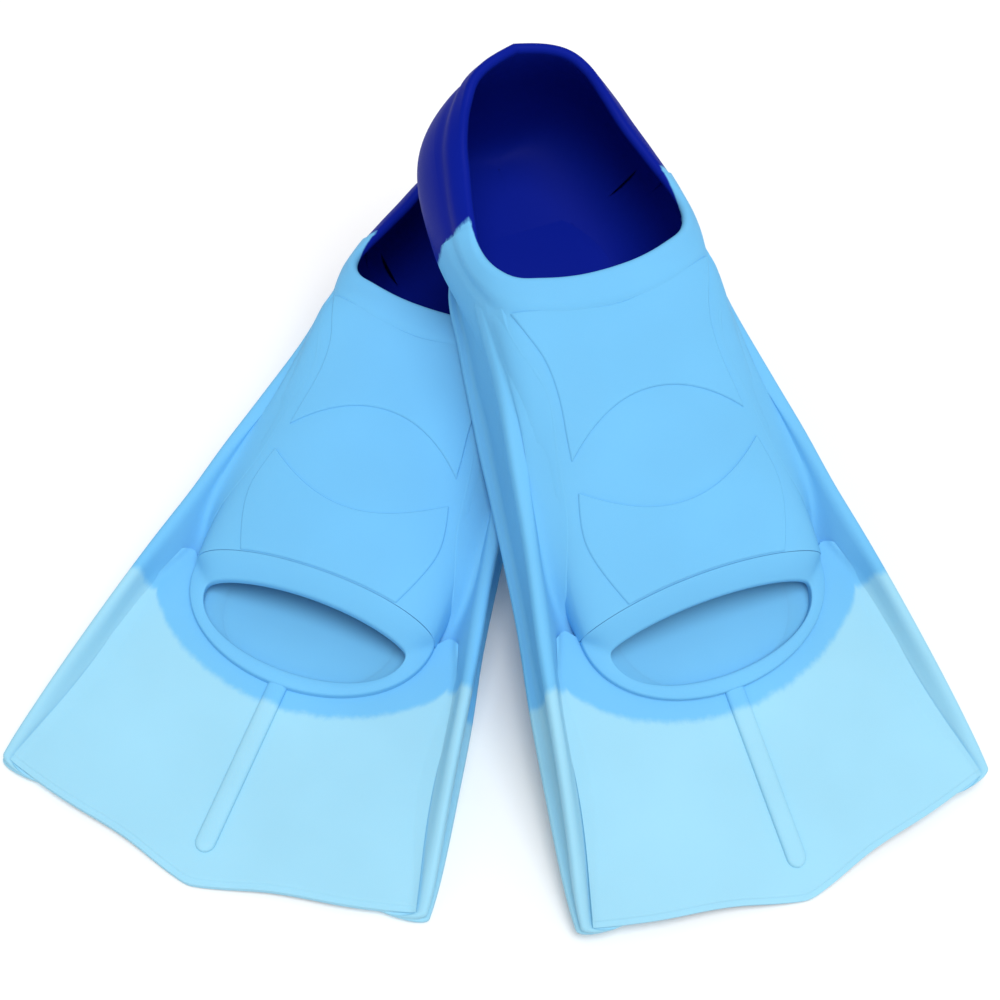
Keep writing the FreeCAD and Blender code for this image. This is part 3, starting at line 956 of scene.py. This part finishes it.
class FinOperator:
    bl_options = {"REGISTER", "UNDO"}


class SWIMFINS_OT_heel(FinOperator, bpy.types.Operator):
    """Heel cup and the rear half of the ankle collar"""
    bl_idname = "swimfins.heel"
    bl_label = "Heel"

    def execute(self, context):
        outer, inner = heel_grids(settings()[0])
        names = ("ankle_collar_rear", "heel_cup")
        add_collared_walls(outer, inner, HEEL_COLLAR_ROWS, names, "Royal silicone", bend_with_heel)
        return {"FINISHED"}


class SWIMFINS_OT_upper(FinOperator, bpy.types.Operator):
    """Foot upper and the front half of the ankle collar"""
    bl_idname = "swimfins.upper"
    bl_label = "Foot upper"

    def execute(self, context):
        outer, inner, cut = front_grids(settings()[0])
        names = ("ankle_collar_front", "foot_upper")
        add_collared_walls(outer, inner, cut, names, "Sky silicone", ride_pocket)
        return {"FINISHED"}


class SWIMFINS_OT_panels(FinOperator, bpy.types.Operator):
    """The two raised plates on the instep"""
    bl_idname = "swimfins.panels"
    bl_label = "Instep panels"

    def execute(self, context):
        raise_by = settings()[0].panel_raise / MM
        plans = {"upper_instep_panel": upper_panel_plan(), "lower_instep_panel": lower_panel_plan()}
        for fin in FINS:
            for name, plan in plans.items():
                shape = closed_shell(*plate_on_pocket(plan, raise_by))[:2]
                piece = add_piece(fin, name, shape, "Sky silicone", ride_pocket)
                bevel = piece.modifiers.new("Soft border", "BEVEL")
                bevel.width = 0.0005
                bevel.segments = 2
                bevel.limit_method = "ANGLE"
                bevel.angle_limit = math.radians(50)
        return {"FINISHED"}


class SWIMFINS_OT_footbed(FinOperator, bpy.types.Operator):
    """Footbed and sole"""
    bl_idname = "swimfins.footbed"
    bl_label = "Footbed"

    def execute(self, context):
        for fin in FINS:
            add_piece(fin, "footbed", closed_shell(*footbed_grids())[:2], "Footbed silicone", ride_pocket)
        return {"FINISHED"}


class SWIMFINS_OT_rim(FinOperator, bpy.types.Operator):
    """Thick half-moon lip round the toe opening"""
    bl_idname = "swimfins.rim"
    bl_label = "Toe rim"

    def execute(self, context):
        for fin in FINS:
            add_piece(fin, "toe_rim", bar(rim_sections(), wrap=True), "Sky silicone", ride_pocket)
        return {"FINISHED"}


class SWIMFINS_OT_rails(FinOperator, bpy.types.Operator):
    """Channelled side rails, rear and front"""
    bl_idname = "swimfins.rails"
    bl_label = "Side rails"

    def execute(self, context):
        rear = np.linspace(RAIL_START, RAIL_SPLIT, 120)
        tip = np.linspace(RAIL_TAPER, RAIL_END, 8)
        front = np.concatenate([np.linspace(RAIL_SPLIT, RAIL_TAPER, 60), tip[1:]])
        # The last few millimetres shrink across and up to a rounded tip.
        shrink = np.sqrt(1 - np.clip((front - RAIL_TAPER) / 5.2, 0, 1) ** 2)[:, None, None]
        shrink = np.concatenate([shrink, np.ones_like(shrink), shrink], -1)
        for fin in FINS:
            for letter, side in SIDES.items():
                shape = bar(rail_sections(side, rear))
                add_piece(fin, "side_rail_rear_" + letter, shape, "Sky silicone", ride_pocket)
                sections = rail_sections(side, front)
                centre = sections.mean(axis=1, keepdims=True)
                shape = bar(centre + (sections - centre) * shrink)
                add_piece(fin, "side_rail_front_" + letter, shape, "Pale silicone", bend_with_blade)
        return {"FINISHED"}


class SWIMFINS_OT_blade(FinOperator, bpy.types.Operator):
    """Web round the toe rim, and the pale blade"""
    bl_idname = "swimfins.blade"
    bl_label = "Blade"

    def execute(self, context):
        sizes = settings()[0]
        deck = sizes.deck / MM
        root = closed_shell(*root_grids(deck))[:2]
        panel = closed_shell(*panel_grids(deck, sizes.edge_step / MM))[:2]
        for fin in FINS:
            add_piece(fin, "blade_root", root, "Sky silicone", bend_with_blade)
            add_piece(fin, "blade_panel", panel, "Pale silicone", bend_with_blade)
        return {"FINISHED"}


class SWIMFINS_OT_rib(FinOperator, bpy.types.Operator):
    """Rounded centre rib"""
    bl_idname = "swimfins.rib"
    bl_label = "Centre rib"

    def execute(self, context):
        sizes = settings()[0]
        sections = rib_sections(sizes.rib_width / MM / 2, sizes.rib_raise / MM)
        for fin in FINS:
            add_piece(fin, "blade_rib", bar(sections), "Pale silicone", bend_with_blade)
        return {"FINISHED"}


class SWIMFINS_OT_stage(FinOperator, bpy.types.Operator):
    """Pale floor, soft studio light and the camera"""
    bl_idname = "swimfins.stage"
    bl_label = "Studio"

    def execute(self, context):
        studio = settings()[2]
        scene = context.scene
        mesh = bpy.data.meshes.new("floor")
        reach = 6.0
        corners = [(-reach, -reach, 0), (reach, -reach, 0), (reach, reach, 0), (-reach, reach, 0)]
        mesh.from_pydata(corners, [], [(0, 1, 2, 3)])
        floor = bpy.data.objects.new("floor", mesh)
        scene.collection.objects.link(floor)
        paint = bpy.data.materials.new("Pale floor")
        paint.use_nodes = True
        shader = paint.node_tree.nodes["Principled BSDF"]
        shader.inputs["Base Color"].default_value = (0.93, 0.93, 0.93, 1)
        shader.inputs["Roughness"].default_value = 0.9
        mesh.materials.append(paint)
        world = bpy.data.worlds.new("Studio")
        world.use_nodes = True
        background = world.node_tree.nodes["Background"]
        background.inputs["Color"].default_value = (1, 1, 1, 1)
        background.inputs["Strength"].default_value = studio.ambient
        scene.world = world
        scene.view_settings.view_transform = "Standard"
        lamp = bpy.data.lights.new("key", "SUN")
        lamp.energy, lamp.angle = studio.key, math.radians(40)
        holder = bpy.data.objects.new("key", lamp)
        holder.rotation_euler = (-Vector(studio.key_from)).to_track_quat("-Z", "Y").to_euler()
        scene.collection.objects.link(holder)
        lens = bpy.data.cameras.new("camera")
        lens.lens, lens.sensor_width = studio.lens, 36.0
        camera = bpy.data.objects.new("camera", lens)
        camera.location = studio.camera
        view = (Vector(studio.aim) - Vector(studio.camera)).to_track_quat("-Z", "Y")
        camera.rotation_euler = (view.to_matrix() @ Matrix.Rotation(studio.roll, 3, "Z")).to_euler()
        scene.collection.objects.link(camera)
        scene.camera = camera
        return {"FINISHED"}


class SWIMFINS_PT_panel(bpy.types.Panel):
    """Lists the steps that build the fins"""
    bl_idname = "SWIMFINS_PT_panel"
    bl_label = "Swim Fins"
    bl_space_type = "VIEW_3D"
    bl_region_type = "UI"
    bl_category = "Swim Fins"

    def draw(self, context):
        for operator in OPERATORS:
            self.layout.operator(operator.bl_idname)
        for group in settings():
            for name in group.__annotations__:
                self.layout.prop(group, name)


OPERATORS = (
    SWIMFINS_OT_heel, SWIMFINS_OT_upper, SWIMFINS_OT_panels, SWIMFINS_OT_footbed, SWIMFINS_OT_rim,
    SWIMFINS_OT_rails, SWIMFINS_OT_blade, SWIMFINS_OT_rib, SWIMFINS_OT_stage,
)
CLASSES = (FinSizes, FinColours, StudioSettings) + OPERATORS + (SWIMFINS_PT_panel,)


def register():
    for cls in CLASSES:
        bpy.utils.register_class(cls)
    bpy.types.Scene.fin_sizes = bpy.props.PointerProperty(type=FinSizes)
    bpy.types.Scene.fin_colours = bpy.props.PointerProperty(type=FinColours)
    bpy.types.Scene.fin_studio = bpy.props.PointerProperty(type=StudioSettings)


def unregister():
    del bpy.types.Scene.fin_studio, bpy.types.Scene.fin_colours, bpy.types.Scene.fin_sizes
    for cls in reversed(CLASSES):
        bpy.utils.unregister_class(cls)


def main():
    register()
    for operator in OPERATORS:
        getattr(bpy.ops.swimfins, operator.bl_idname.split(".")[1])()


if __name__ == "__main__":
    main()
